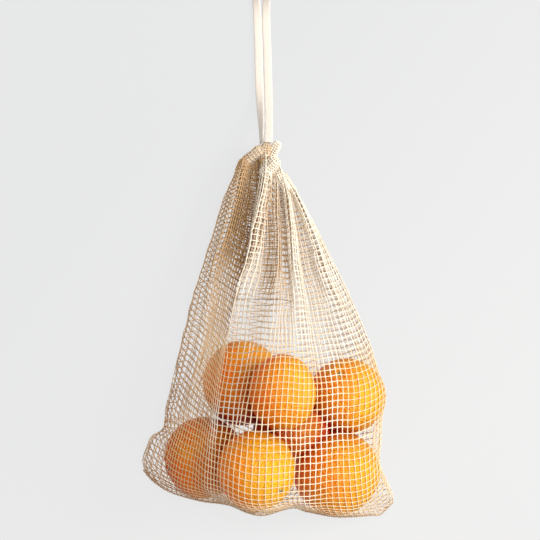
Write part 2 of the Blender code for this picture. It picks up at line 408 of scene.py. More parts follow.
peel = {
    "deep": (0.84, 0.150, 0.002),
    "bright": (0.77, 0.350, 0.008),
    "yellower": (0.045, 0.055, 0.002),  # added for each unit of yellow, which is partly painted shade
    "least": 0.001,
    # colour of the painted shade where oranges are close
    "creviceShade": (0.41, 0.023, 0.001),
    "creviceReach": 0.011, "usualRadius": 0.037,
    "creviceShare": (1.15, 0.12),  # how strong the painted crevice shade gets, less what every orange is spared
    "stemDent": (0.0022, 0.010),  # depth and spread
    "farDent": (0.0007, 0.006),
    "lumps": 5, "lumpHeight": 0.00014, "lumpWaves": 3.0, "seed": 40,
}


def bodyOf(orange, clear=0.0):
    return np.array(orange["middle"]), np.array(orange["size"]) + clear


def radiiFrom(places, orange, clear=0.0):
    # how many of an orange's radii places are from its middle
    middle, size = bodyOf(orange, clear)
    return np.linalg.norm((places - middle) / size, axis=-1)


def makeOrange(name, orange, finish, number):
    deselectAll()
    bpy.ops.mesh.primitive_ico_sphere_add(subdivisions=6, radius=1.0, location=(0, 0, 0))
    piece = bpy.context.object
    piece.name = name
    co = np.zeros(len(piece.data.vertices) * 3)
    piece.data.vertices.foreach_get("co", co)
    ways = unit(co.reshape(-1, 3))
    toward = ways @ unit(np.array(orange["stem"], float))
    dent = sum(
        depth * np.exp(-((1 - side * toward) / spread))
        for side, (depth, spread) in ((1, peel["stemDent"]), (-1, peel["farDent"]))
    )
    rng = np.random.default_rng(peel["seed"] + number)
    lump = np.zeros(len(ways))
    for _ in range(peel["lumps"]):
        way = unit(rng.normal(size=3))
        lump += peel["lumpHeight"] * np.cos(peel["lumpWaves"] * (ways @ way) + rng.uniform(0, 6))
    middle, size = bodyOf(orange)
    co = ways * (size - dent[:, None] + lump[:, None]) + middle
    piece.data.vertices.foreach_set("co", co.ravel())
    piece.data.update()
    # painted shade: peel close to another orange is painted darker and redder, as the light between them is
    others = [other for other in orangeList.values() if other is not orange]
    gaps = [np.maximum(radiiFrom(co, other) - 1, 0) * peel["usualRadius"] for other in others]
    close = sum(np.exp(-gap / peel["creviceReach"]) for gap in gaps)
    strength, spared = peel["creviceShare"]
    shade = np.clip((close * strength - spared) * orange["creviceShadeStrength"], 0, 1)
    creviceShade = piece.data.attributes.new("creviceShade", "FLOAT", "POINT")
    creviceShade.data.foreach_set("value", shade.astype(np.float32))
    piece.data.shade_smooth()
    piece.data.materials.append(finish)
    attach(piece, "root")


stemStar = {
    "radius": 0.0042, "thickness": 0.0012, "points": 5, "notch": 0.45,
    "crown": 0.7,  # how much narrower its outer face is
    "bevel": 0.00025, "sunk": 0.0017,
}


def makeStemStar(name, orange, finish):
    deselectAll()
    way = Vector(orange["stem"]).normalized()
    reach = 1 / math.sqrt(sum((way[k] / orange["size"][k]) ** 2 for k in range(3)))
    points = stemStar["points"] * 2
    radius, thickness = stemStar["radius"], stemStar["thickness"]
    bpy.ops.mesh.primitive_cylinder_add(vertices=points, radius=radius, depth=thickness)
    star = bpy.context.object
    star.name = name + "Star"
    for vertex in star.data.vertices:
        corner = round(math.atan2(vertex.co.y, vertex.co.x) / (2 * math.pi / points))
        narrower = (stemStar["notch"] if corner % 2 else 1) * (stemStar["crown"] if vertex.co.z > 0 else 1)
        vertex.co.x *= narrower
        vertex.co.y *= narrower
    bpy.ops.object.mode_set(mode="EDIT")
    bpy.ops.mesh.select_all(action="SELECT")
    bpy.ops.mesh.bevel(offset=stemStar["bevel"], segments=2)
    bpy.ops.object.mode_set(mode="OBJECT")
    star.rotation_euler = way.to_track_quat("Z", "Y").to_euler()
    star.location = Vector(orange["middle"]) + way * (reach - stemStar["sunk"])
    bpy.ops.object.transform_apply(location=True, rotation=True, scale=True)
    star.data.materials.append(finish)
    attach(star, "root")


def makeOranges():
    stalk = stalkFinish()
    for number, (name, orange) in enumerate(orangeList.items()):
        # yellow is each orange's own tint and partly painted shade: the lower left orange darker, the upper
        # left lighter
        shift = np.array(peel["yellower"]) * orange["yellow"]
        tones = [np.maximum(np.array(peel[tone]) + shift, peel["least"]) for tone in ("deep", "bright")]
        makeOrange(name, orange, peelFinish(name + " peel", *tones), number)
        makeStemStar(name, orange, stalk)
    print("oranges made")


makeOranges()

# the net: where its two side folds, its seam and its mouth run, then one grid of cells all round

net = {
    # in mm: the side folds from the seam up, then the seam (with its height) and the mouth from left to right
    "leftFold": [
        (-127, -141), (-121, -112), (-105, -86), (-92, -34), (-77, 28), (-57, 88), (-43.5, 134), (-30, 169),
    ],
    "rightFold": [
        (128, -173), (113, -146), (107, -114), (118, -68), (103, -14), (83, 32), (55, 90), (12, 168),
    ],
    "seam": [
        (-127, -141, 8), (-116, -153, 10), (-98, -163.5, 20), (-68, -171.2, 34), (-40, -174.2, 46),
        (-18, -180.8, 70), (-3, -182.2, 74), (24, -175.8, 64), (40, -181.2, 46), (70, -187, 37),
        (104, -186.8, 20), (114, -186, 12), (128, -173, 8),
    ],
    "mouth": [(-30, 169), (-17, 179), (0, 179), (12, 168)],
    # ridges (even) and valleys (odd) of the front's folds from left to right: where each runs, how deep a
    # valley is at a y, and the cells of net from the ridge before
    "folds": [
        {"line": "leftFold"},
        {"line": [
            (-118, -150), (-98, -90), (-73, -20), (-67, 29), (-63, 63), (-53, 96), (-41, 136), (-29, 167),
        ], "depth": [(-150, 0), (-90, 1), (30, 3), (100, 4), (150, 2)]},
        {"cells": 3, "line": [
            (-112, -152), (-92, -90), (-68, -20), (-61, 29), (-57, 63), (-46, 96), (-35, 136), (-25, 169),
        ]},
        {"line": [
            (-60, -180), (-62, -120), (-57, -70), (-51, -25), (-46, -9), (-40, 10), (-35, 29), (-30, 63),
            (-27, 86), (-24, 110), (-17, 136), (-12, 156), (-10, 172),
        ], "depth": [(-60, 0), (-20, 5), (30, 15), (70, 20), (110, 20), (150, 17), (170, 11)]},
        {"cells": 17, "line": [
            (-50, -180), (-51, -120), (-48, -70), (-42, -20), (-38.5, 3), (-35, 23), (-30, 43), (-24, 63),
            (-18.5, 86), (-13.5, 110), (-7.5, 136), (-4, 156), (-2.5, 172),
        ]},
        {"line": [
            (-32, -184), (-31, -110), (-24, -45), (-16, -15), (-10, 3), (-6, 29), (-3, 56), (-3, 83),
            (-2, 110), (-1, 130), (4, 148), (3, 172),
        ], "depth": [(-40, 0), (-15, 3), (3, 8), (30, 16), (60, 21), (110, 18), (150, 10), (170, 4)]},
        {"cells": 8, "line": [
            (-14, -178), (-13, -110), (-6, -50), (1, -15), (4, 3), (6, 29), (9, 56), (9.7, 83), (8, 110),
            (6.5, 130), (7.5, 148), (4.5, 172),
        ], "depth": [(-40, 0), (-15, 2), (3, 5), (30, 10), (60, 12), (110, 12), (150, 8), (170, 3)]},
        {"line": [
            (9, -177), (10, -110), (15, -45), (18, -15), (19, 3), (19, 29), (17, 56), (16, 83), (13.5, 110),
            (11, 130), (10.5, 148), (6, 171),
        ], "depth": [(-40, 0), (-15, 2), (3, 5), (30, 11), (60, 15), (110, 16), (150, 9), (170, 3)]},
        {"cells": 8, "line": [
            (32, -180), (32, -110), (35, -50), (34, -20), (31.8, 3), (31, 29), (25.8, 56), (23, 83),
            (20.4, 110), (17.8, 130), (15, 146), (8, 170),
        ]},
        {"line": [
            (60, -186), (63, -110), (62, -50), (56, -20), (50, 3), (44, 29), (38, 56), (34, 83), (30, 110),
            (24, 136), (19, 150), (9.5, 169.5),
        ], "depth": [(-40, 0), (0, 3), (30, 8), (60, 12), (110, 12), (150, 8), (170, 3)]},
        {"cells": 12, "line": [
            (104, -186), (97, -110), (97, -50), (88, -20), (79, 3), (71, 29), (58, 56), (51, 83), (40, 110),
            (28.5, 138), (10.5, 169),
        ]},
        {"line": [
            (114, -184), (103, -110), (106, -60), (96, -20), (86, 3), (76, 29), (64, 56), (54, 83), (43, 106),
            (31, 138), (11.2, 168.5),
        ], "depth": [(-90, 1), (30, 3), (100, 3), (150, 1)]},
        {"cells": 5, "line": "rightFold"},
    ],
    # each valley's two sides: the shares of the side that its crest and then its wall take
    "sides": [
        ((0.3, 0.5), (0.3, 0.5)), ((0.1, 0.8), (0.55, 0.25)), ((0.65, 0.25), (0.2, 0.5)),
        ((0.2, 0.5), (0.5, 0.3)), ((0.45, 0.3), (0.3, 0.3)), ((0.3, 0.4), (0.3, 0.4)),
    ],
    # layers of net just under the neck's folds: the rows that they fade in and out over, the share of a cell
    # that they are shifted by, how far below they lie, and how much more painted shade they get
    "layers": {
        "net_inner": {
            "row": 40, "columns": (3, 36), "fade": (10, 8),
            "shift": 0.5, "below": 0.0035, "morePaintedShade": 0.4,
        },
        "net_deep": {
            "row": 42, "columns": (6, 19), "fade": (8, 8),
            "shift": 0.25, "below": 0.007, "morePaintedShade": 0.4,
        },
        "net_deeper": {
            "row": 42, "columns": (8, 19), "fade": (8, 8),
            "shift": 0.75, "below": 0.01, "morePaintedShade": 0.5,
        },
    },
    "layersStay": 0.2,  # share of their shift that is left at the mouth
    "cell": 0.006, "rows": 66, "backCells": 53,
    "warp": 0.00057,  # half thickness of the lengthwise yarn
    "weft": 0.00053,
    "knots": (1.25, 0.92),  # how thick the yarn is at its crossings, and between them
    "thinner": {"inPaintedShade": 0.25, "onPeel": 0.22, "atSeam": 0.22},
    "inset": 0.0007, "unevenness": 0.00022, "seed": 7,
    # how the rings are read from the skin, and the seam's and mouth's curves fade into the side folds' plan
    "levels": (0.015, 1, 90),
    "turns": 73,
    "readShares": (0.05, 0.95, 19),
    "beyond": 0.3, "lineSamples": 400, "planSamples": 200, "pathSamples": 500,
    "wallSamples": 240, "plainHeight": 0.02, "seamHeight": 0.009, "seamPower": 5,
    "mouthPower": 6,
    "keptIn": (0.8, 0.95),
    # how the cells that are left over gather: in walls, elsewhere, and where a valley is shallow
    "wallBlur": 0.0015, "gatherLeast": 0.03, "gatherShallow": 3,
    "shallow": (0.001, 0.006),
    "backFolds": 5,
    "backFoldDepth": [(0, 0), (0.5, 0), (0.75, 0.008), (0.9, 0.007), (1, 0.003)],
    # cells that the rows lead the middle's by, at shares across the front and the back
    "lead": [(0, 8), (0.057, 5.5), (0.377, 0), (0.66, 0), (0.86, 1.2), (1, 1.8)],
    "backLead": [(0, 1.8), (0.35, 0), (0.74, 0.5), (0.91, 10), (1, 8)],
    "leadRows": 12.0, "spareRowsPower": 2.2,
    # how the net is laid on the oranges: clearance of the yarn's middle, and turns of lifting and evening
    "clear": 0.0009, "layTurns": 4, "liftInside": 0.9,
    "evenBeyond": (1.05, 1.25),
    # painted shade on the yarn: by depth in the folds, by crowding (cell width, spread), by rows from the
    # seam
    "fullDepth": 0.015,
    "crowded": (0.0048, 0.0028),
    "crowd": [(0, 0.1), (0.07, 0.25), (0.12, 0.9), (0.36, 0.9), (0.42, 0.15), (1, 0.15)],  # share across
    "seamShade": 0.85, "seamRows": 5.0,
    "backPaintedShade": [(0, 0.006), (0.7, 0.007), (0.86, 0.017)],  # painted shade on the far side, as much as on a fold this deep
    # by column: the share of painted shade that lengthwise yarn takes, the least painted shade, and the pale
    # crests
    "warpShadeShare": [
        (0, 0.95), (3, 0.9), (8, 1), (16, 1), (19, 0.45), (24, 0.5), (34, 0.5), (36, 0.3), (54, 0.35),
        (110, 0.35),
    ],
    # painted shade on the left side of the bag, which faces away from the key light
    "shaded": [(0, 0.9), (6, 0.9), (16, 0.8), (19, 0.15), (22, 0)],
    "crests": [(21, 3.2), (36, 1.6), (48, 1.3)],  # column, width
    "crestPaler": 0.9,
    "weftLeastShade": 0.24,  # least painted shade on the crosswise yarn away from the crests
    # painted bounce light from the peel on yarn near it: at most, its reach in radii, and how much less
    # elsewhere
    "paintedBounce": 0.8,
    "paintedBounceReach": (1.5, 0.4),
    "paintedBounceLess": {"shaded": 0.35, "seam": 0.8},
    # pale, dark, and the colour of full painted shade deep in a fold
    "warpTones": ((0.96, 0.88, 0.75), (0.84, 0.7, 0.5), (0.56, 0.34, 0.15)),
    "weftTones": ((0.96, 0.88, 0.75), (0.84, 0.7, 0.5), (0.52, 0.28, 0.09)),
}
frontCells = sum(fold.get("cells", 0) for fold in net["folds"])
foldLevels = np.linspace(0.0, 1.0, 60)


def planCurve(points, shares):
    # points on the smooth curve through a list in mm
    return alongCurve(np.array(points) * mm, shares)


def sideFolds(t):
    return planCurve(net["leftFold"], t), planCurve(net["rightFold"], t)


def foldShares(fold):
    # where a fold's line crosses each section, as a share of the way across, and how deep it is there
    if isinstance(fold["line"], str):
        share = np.full(len(foldLevels), float(fold["line"] == "rightFold"))
        return share, np.zeros(len(foldLevels))
    line = planCurve(fold["line"], np.linspace(0, 1, net["lineSamples"]))
    depth = fold.get("depth", [(0, 0)])
    shares, sinks = [], []
    for t in foldLevels:
        left, right = sideFolds(t)
        chord = right - left
        offset = (line - left) @ np.array([-chord[1], chord[0]])
        k = int(np.argmin(np.abs(offset)))
        shares.append(np.clip((line[k] - left) @ chord / (chord @ chord), 0.01, 0.99))
        sinks.append(fromTable(line[k, 1] / mm, depth) * mm)
    return smoothed(np.array(shares), 0, 3), np.array(sinks)


def planPoint(u, t):
    # place of a column on the flat plan: u across from the left fold, t up from the seam
    left, right = sideFolds(t)
    seam = np.array(net["seam"])[:, :2] * mm
    seamLine = evenly(alongCurve(seam, np.linspace(0, 1, net["planSamples"])), [u])[0]
    low = seamLine - (1 - u) * seam[0] - u * seam[-1]
    mouth = np.array(net["mouth"]) * mm
    high = alongCurve(mouth, u) - (1 - u) * mouth[0] - u * mouth[-1]
    bends = (1 - t) ** net["seamPower"] * low + t ** net["mouthPower"] * high
    return (1 - u) * left + u * right + bends


def cadSkin():
    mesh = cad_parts["net_bag"].data
    corners = [v.co.copy() for v in mesh.vertices]
    return BVHTree.FromPolygons(corners, [tuple(p.vertices) for p in mesh.polygons])


def firstHit(skin, start, way):
    return skin.ray_cast(Vector(start), Vector(way))[0]


def midHeights(skin, shares, levels):
    # half way between the upper and the lower side of the filled bag
    far = net["beyond"]
    found = np.full((len(levels), len(shares)), np.nan)
    for j, t in enumerate(levels):
        for i, u in enumerate(shares):
            x, y = planPoint(u, t)
            over = firstHit(skin, (x, y, far), (0, 0, -1))
            under = firstHit(skin, (x, y, -far), (0, 0, 1))
            if over and under:
                found[j, i] = (over.z + under.z) / 2
        row = found[j]
        good = ~np.isnan(row)
        found[j] = np.interp(shares, shares[good], row[good]) if good.any() else net["plainHeight"]
    return found


def netRings(levels, turns):
    # the filled bag's skin, read as rings of points; turns run over the front from left to right
    skin = cadSkin()
    shares = np.linspace(*net["readShares"])
    heights = midHeights(skin, shares, levels)
    rings = np.zeros((len(levels), 2, len(turns), 3))
    inward = np.zeros_like(rings)
    for j, t in enumerate(levels):
        start, end = (np.array([*fold, 0.0]) for fold in sideFolds(t))
        side = end - start
        width = np.linalg.norm(side)
        side = side / width
        for k, turn in enumerate(turns):
            u = np.clip((1 - math.cos(turn)) / 2, shares[0], shares[-1])
            x, y = planPoint(u, t)
            aim = np.array([x, y, np.interp(u, shares, heights[j])])
            lean = -math.cos(turn) * abs(math.cos(turn))
            for face, up in enumerate((1, -1)):
                outward = unit(side * lean + np.array([0, 0, up * math.sin(turn)]))
                hit = firstHit(skin, aim + outward * net["beyond"], -outward)
                place = np.array(hit) if hit else aim
                across = (place - start) @ side
                place = place + side * (np.clip(across, 0, width) - across) * ease(*net["keptIn"], t)
                rings[j, face, k] = place
                inward[j, face, k] = -outward
    return rings, inward


def smoothed(values, axis, passes):
    for _ in range(passes):
        values = np.moveaxis(values, axis, 0)
        inner = (values[:-2] + 2 * values[1:-1] + values[2:]) / 4
        values = np.concatenate([values[:1], inner, values[-1:]])
        values = np.moveaxis(values, 0, axis)
    return values


def foldedPath(arc, inward, t, folds):
    # one section across the front, sunk into its folds: the path, its depth, and each valley's walls
    left, right = sideFolds(t)
    chord = right - left
    share = np.maximum.accumulate((arc[:, :2] - left) @ chord / (chord @ chord))
    share[0], share[-1] = min(share[0], 0.0), max(share[-1], 1.0)
    travelled = travelledAlong(arc)
    lines = np.maximum.accumulate([np.interp(t, foldLevels, where) for where, _ in folds])
    depths = np.array([np.interp(t, foldLevels, deep) for _, deep in folds])
    at = np.interp(lines, share + np.arange(len(share)) * 1e-9, travelled)
    at[0], at[-1] = 0.0, travelled[-1]
    fine = np.linspace(0, travelled[-1], net["pathSamples"])
    sink = np.zeros(len(fine))
    walls = []
    for k, (before, after) in enumerate(net["sides"]):
        low, middle, high = at[2 * k : 2 * k + 3]
        first, last = middle - low + 1e-6, high - middle + 1e-6
        floor = np.interp(fine, [low, middle, high], depths[2 * k : 2 * k + 3])
        rise = ease(before[0] * first, sum(before) * first, fine - low)
        fall = ease(after[0] * last, sum(after) * last, high - fine)
        deep = floor + (depths[2 * k + 1] - floor) * np.minimum(rise, fall)
        here = (fine >= low) & (fine <= high)
        sink[here] = deep[here]
        falling = (low + before[0] * first, low + sum(before) * first)
        rising = (high - sum(after) * last, high - after[0] * last)
        walls.append((*falling, *rising))
    way = unit(columnsAt(fine, travelled, inward))
    path = columnsAt(fine, travelled, arc) + way * (sink + net["inset"])[:, None]
    run = travelledAlong(path)
    ends = [np.interp(at[2 * k : 2 * k + 3 : 2], fine, run) for k in range(len(walls))]
    edges = [np.interp(wall, fine, run) for wall in walls]
    return np.column_stack([path, sink]), run, ends, edges, depths[1::2]


def frontSection(arc, inward, t, folds):
    # one section divided into its cells: they keep their width on crests and valley floors, and what is left
    # over is gathered in the walls
    path, run, ends, edges, depths = foldedPath(arc, inward, t, folds)
    blur = net["wallBlur"]
    stops = []
    for k, (low, high) in enumerate(ends):
        cells = net["folds"][2 * k + 2]["cells"]
        s = np.linspace(low, high, net["wallSamples"])
        spare = cells - (high - low) / net["cell"]
        bump = net["gatherLeast"]
        for start, end in (edges[k][:2], edges[k][2:]):
            bump = bump + ease(start - blur, start + blur, s) * (1 - ease(end - blur, end + blur, s))
        bump = bump + net["gatherShallow"] * (1 - ease(*net["shallow"], depths[k]))
        density = 1 / net["cell"] + max(spare, 0) * bump / (bump.mean() * (high - low))
        count = np.concatenate([[0], np.cumsum((density[1:] + density[:-1]) / 2 * np.diff(s))])
        count *= cells / count[-1]
        stops.append(np.interp(np.arange(cells), count, s))
    return columnsAt(np.concatenate([*stops, [run[-1]]]), run, path)


def backSection(arc, inward, t):
    travelled = travelledAlong(arc)
    u = np.linspace(0, 1, net["backCells"] + 1)
    at = u * travelled[-1]
    sink = (0.5 - 0.5 * np.cos(2 * math.pi * net["backFolds"] * u)) * fromTable(t, net["backFoldDepth"])
    way = unit(columnsAt(at, travelled, inward))
    path = columnsAt(at, travelled, arc) + way * (sink + net["inset"])[:, None]
    # the last column is the far side's painted shade, given as the depth of a fold that is as shaded
    return np.column_stack([path, np.full(len(path), fromTable(t, net["backPaintedShade"]))])


def rowLead(count):
    # how many rows further up each column's rows lie than the middle's: the sides are drawn up
    column = np.arange(count)
    front = fromTable(column / frontCells, net["lead"])
    behind = fromTable(1 - (count - column) / net["backCells"], net["backLead"])
    return np.where(column <= frontCells, front, behind)


def rowsDown(column, lead):
    # a column's rows from the mouth down, one cell apart at first, and the rest spread over what is left
    length = travelledAlong(column)[-1]
    row = np.arange(net["rows"] + 1)
    down = row * net["cell"] - lead * net["cell"] * (1 - np.exp(-row / net["leadRows"]))
    down = down + (length - down[-1]) * (row / net["rows"]) ** net["spareRowsPower"]
    down = np.maximum.accumulate(np.clip(down, 0, length))
    return evenly(column, down / length)


def netGrid():
    # points of the net, (row, column, 4), rows from the seam up, columns over the front then back, depth last
    levels = np.linspace(*net["levels"])
    rings, inward = netRings(levels, np.linspace(0, math.pi, net["turns"]))
    folds = [foldShares(fold) for fold in net["folds"]]
    front = np.array([frontSection(rings[j, 0], inward[j, 0], t, folds) for j, t in enumerate(levels)])
    back = np.array([backSection(rings[j, 1], inward[j, 1], t) for j, t in enumerate(levels)])
    seamLine = planCurve(net["seam"], np.linspace(0, 1, net["lineSamples"]))
    seamLine = np.column_stack([seamLine, np.full(len(seamLine), net["seamHeight"])])
    front, back = (
        smoothed(np.concatenate([evenly(seamLine, np.linspace(0, 1, face.shape[1]))[None], face]), 0, 4)
        for face in (front, back)
    )
    shared = (front[:, -1] + back[:, -1]) / 2, (front[:, 0] + back[:, 0]) / 2
    front[:, -1], front[:, 0] = shared
    around = np.concatenate([front, back[:, -2:0:-1]], axis=1)
    leads = rowLead(around.shape[1])
    columns = [rowsDown(around[::-1, i], lead)[::-1] for i, lead in enumerate(leads)]
    return np.array(columns).transpose(1, 0, 2)


def uneven(grid):
    # small drifts of the yarns from their even places
    rng = np.random.default_rng(net["seed"])
    drift = rng.normal(size=grid.shape[:2] + (3,))
    drift = smoothed(smoothed(drift, 0, 1), 1, 1)
    drift[0] = drift[-1] = 0
    grid = grid.copy()
    grid[..., :3] += drift * net["unevenness"] / drift.std()
    return grid


def pushOut(grid):
    # lays the net on the oranges and above the floor: lifted first, then pushed out, and drawn even between
    place = grid[..., :3].copy()
    upper = np.arange(grid.shape[1]) <= frontCells
    for turn in range(net["layTurns"]):
        nearest = np.full(place.shape[:2], np.inf)
        for orange in orangeList.values():
            middle, size = bodyOf(orange, net["clear"])
            flat = (((place[..., :2] - middle[:2]) / size[:2]) ** 2).sum(axis=-1)
            top = middle[2] + size[2] * np.sqrt(np.maximum(1 - flat, 0))
            lift = upper & (flat < net["liftInside"])
            place[..., 2] = np.where(lift, np.maximum(place[..., 2], top), place[..., 2])
            away = (place - middle) / size
            far = np.linalg.norm(away, axis=-1, keepdims=True)
            place = np.where(far < 1, middle + away / np.maximum(far, 1e-9) * size, place)
            nearest = np.minimum(nearest, far[..., 0])
        if turn < net["layTurns"] - 1:
            even = smoothed(smoothed(place, 0, 1), 1, 1)
            place = place + (even - place) * (1 - ease(*net["evenBeyond"], nearest)[..., None])
    place[..., 2] = np.maximum(place[..., 2], net["clear"])
    return place


def netNormals(grid):
    across = np.roll(grid, -1, axis=1) - np.roll(grid, 1, axis=1)
    up = np.gradient(grid, axis=0)
    return unit(np.cross(across, up))


def yarnMarks(grid, sink):
    # for each point of the net, from 0 to 1: how much painted shade it gets, how much painted bounce light
    # from the peel, the share of the painted shade that lengthwise yarn takes, how pale a crest is, and how
    # close the seam
    gap = np.linalg.norm(np.roll(grid, -1, axis=1) - grid, axis=2)
    gap = smoothed((gap + np.roll(gap, 1, axis=1)) / 2, 1, 2)
    column = np.arange(grid.shape[1])
    width, spread = net["crowded"]
    crowd = np.clip((width - gap) / spread, 0, 1)
    crowd = crowd * fromTable(np.minimum(column / frontCells, 1), net["crowd"])
    seamNear = np.exp(-np.arange(len(grid)) / net["seamRows"])[:, None]
    # painted shade near the seam
    low = net["seamShade"] * seamNear
    shaded = fromTable(column, net["shaded"])
    pale = sum(np.exp(-(((column - middle) / wide) ** 2)) for middle, wide in net["crests"]).clip(0, 1)
    paintedShadeAmount = np.maximum(sink / net["fullDepth"], crowd) * (1 - net["crestPaler"] * pale)
    paintedShadeAmount = np.maximum(np.maximum(paintedShadeAmount, low), shaded)
    onPeel = np.zeros(paintedShadeAmount.shape)
    reach, fade = net["paintedBounceReach"]
    for orange in orangeList.values():
        near = np.clip((reach - radiiFrom(grid, orange, net["clear"])) / fade, 0, 1)
        onPeel = np.maximum(onPeel, net["paintedBounce"] * near)
    onPeel = onPeel * (1 - net["paintedBounceLess"]["shaded"] * shaded) * (1 - net["paintedBounceLess"]["seam"] * low)
    marks = (paintedShadeAmount.clip(0, 1), onPeel, fromTable(column, net["warpShadeShare"]), pale, seamNear)
    return np.stack([np.broadcast_to(mark, paintedShadeAmount.shape) for mark in marks], axis=2)


def netParts(closed):
    # the lines of yarn, by the name of the piece that they make, with the way that they run
    last = frontCells
    parts = {
        "net_front_warp": (closed[:, : last + 1].transpose(1, 0, 2), "warp"),
        "net_back_warp": (closed[:, last + 1 : -1].transpose(1, 0, 2), "warp"),
        "net_front_weft": (closed[1:, : last + 1], "weft"),
        "net_back_weft": (closed[1:, last:], "weft"),
    }
    for name, layer in net["layers"].items():
        first, final = layer["columns"]
        outer = closed[layer["row"] :, first : final + 2]
        fadeIn, fadeOut = layer["fade"]
        step = np.arange(len(outer) - 1)
        leave = (1 - net["layersStay"]) * ease(len(step) - fadeOut, len(step) - 1, step)
        grow = (ease(0, fadeIn, step) * (1 - leave))[:, None, None]
        inner = outer[:-1, :-1].copy()
        across = (outer[:-1, 1:, :3] - inner[..., :3]) * layer["shift"]
        above = (outer[1:, :-1, :3] - inner[..., :3]) * layer["shift"]
        inner[..., :3] += (across + above - inner[..., 3:6] * layer["below"]) * grow
        # painted shade: the layers under the folds are browned further
        inner[..., 6] = np.clip(inner[..., 6] + layer["morePaintedShade"] * grow[..., 0], 0, 1)
        inner[..., 8] = 1
        parts[name + "_warp"] = (inner.transpose(1, 0, 2), "warp")
        parts[name + "_weft"] = (inner, "weft")
    return parts


def makeNet():
    full = uneven(netGrid())
    grid = pushOut(full)
    print("net grid laid out")
    everything = np.concatenate([grid, netNormals(grid), yarnMarks(grid, full[..., 3])], axis=2)
    closed = np.concatenate([everything, everything[:, :1]], axis=1)
    finishes = {
        "warp": yarnFinish("lengthwise yarn", net["warpTones"]),
        "weft": yarnFinish("crosswise yarn", net["weftTones"]),
    }
    thinner = net["thinner"]
    steps = 2
    for name, (lines, kind) in netParts(closed).items():
        fine = finer(lines, steps)
        paintedShadeAmount, onPeel, warpShare, pale, seamNear = np.moveaxis(fine[..., 6:], -1, 0)
        paintedShadeAmount, onPeel = paintedShadeAmount.clip(0, 1), onPeel.clip(0, 1)
        atKnot, between = net["knots"]
        radii = net[kind] * np.where(np.arange(fine.shape[1]) % steps == 0, atKnot, between)
        # painted shade: lengthwise yarn takes only a share of it, crosswise yarn at least some off the crests
        if kind == "warp":
            radii = radii * (1 - thinner["inPaintedShade"] * paintedShadeAmount)
            paintedShadeAmount = paintedShadeAmount * warpShare
        else:
            paintedShadeAmount = np.maximum(paintedShadeAmount, net["weftLeastShade"] * (1 - pale))
        radii = radii * (1 - thinner["onPeel"] * onPeel) * (1 - thinner["atSeam"] * seamNear)
        ups, finish = unit(fine[..., 3:6]), finishes[kind]
        piece = yarnPiece(name, fine[..., :3], ups, radii, finish, foldDepth=paintedShadeAmount, onPeel=onPeel)
        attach(piece, "root")
        if name == "net_front_warp":
            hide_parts("net_bag")
        print(name, len(piece.data.polygons), "faces")
    return finishes["warp"]


netYarn = makeNet()

# hem: the gathered casing at the mouth, in scrunched lobes of net

hem = {
    # from x, y, z, radius to x, y, z, radius, in mm, and how much painted shade it gets
    "lobes": [
        ((-26, 166, 18, 4.2), (-8, 180.5, 23, 5.2), 0.45),
        ((-3, 172, 20, 5.5), (-1.5, 183.5, 23.5, 5), 0.6),
        ((-5, 170, 24, 3), (1, 171.5, 26, 3), 0.95),
        ((-3.5, 158, 27, 5.2), (6, 168, 31, 6), 0),
        ((3, 174, 21, 4.5), (9, 185.5, 24, 4.2), 0),
        ((12, 155, 26, 4.5), (18, 142, 27, 3.8), 0.1),
        ((15, 153, 20, 5), (26, 137, 20, 3.8), 0.3),
    ],
    "around": 11, "along": 9, "gathers": 4, "gatherDepth": 0.13,
    "gatherTurns": (1.7, 2.2),  # how far round they move from lobe to lobe, and along one
    "ends": (0.05, 0.95),
    "yarn": 0.00062, "clothInset": 0.0009,
    "clothTones": ((0.76, 0.61, 0.43), (0.55, 0.38, 0.22), (0.4, 0.25, 0.12)),
}


def lobeGrid(lobe, number):
    start, end = np.array(lobe[0]) * mm, np.array(lobe[1]) * mm
    length = np.linalg.norm(end[:3] - start[:3])
    forward = (end[:3] - start[:3]) / length
    side, up = beside(forward)
    s = np.linspace(*hem["ends"], hem["along"])
    place = s * (length + start[3] + end[3]) - start[3]
    radius = np.interp(place, [0, length], [start[3], end[3]])
    over = np.maximum(np.maximum(-place, place - length), 0)
    radius = np.sqrt(np.maximum(radius**2 - over**2, 0))
    count = hem["around"] * 2
    angle = 2 * math.pi * np.arange(count) / count
    fromLobe, fromPlace = hem["gatherTurns"]
    turned = hem["gathers"] * angle[None] + fromLobe * number + fromPlace * s[:, None]
    reach = radius[:, None] * (1 + hem["gatherDepth"] * np.cos(turned))
    ring = side * np.cos(angle)[:, None] + up * np.sin(angle)[:, None]
    points = start[:3] + forward * place[:, None, None] + ring[None] * reach[..., None]
    return points, np.broadcast_to(ring, reach.shape + (3,))


def makeHem():
    lobes = [lobeGrid(lobe, k) for k, lobe in enumerate(hem["lobes"])]
    points, ways = (np.array(grids) for grids in zip(*lobes))
    count, along, around = points.shape[:3]
    # the cloth inside, a little smaller than the yarns on it
    inner = points - ways * hem["clothInset"]
    finish = yarnFinish("hem inside", hem["clothTones"])
    pieces = [meshPiece("net_hem_cloth", inner, tubeFaces(count, along, around), finish)]
    lengthwise, lengthwiseUps = (
        grid[:, :, ::2].transpose(0, 2, 1, 3).reshape(-1, along, 3) for grid in (points, ways)
    )
    rings, ringUps = (
        np.concatenate([grid, grid[:, :, :1]], axis=2).reshape(-1, around + 1, 3) for grid in (points, ways)
    )
    for name, lines, ups in (("net_hem_warp", lengthwise, lengthwiseUps), ("net_hem_weft", rings, ringUps)):
        radii = np.full(lines.shape[:2], hem["yarn"])
        paintedShadeLevel = np.repeat([lobe[2] for lobe in hem["lobes"]], len(lines) // count)
        depths = np.broadcast_to(paintedShadeLevel[:, None], radii.shape)
        pieces.append(yarnPiece(name, lines, ups, radii, netYarn, foldDepth=depths))
    for piece in pieces:
        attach(piece, "root")
    print("hem made of", count, "lobes")


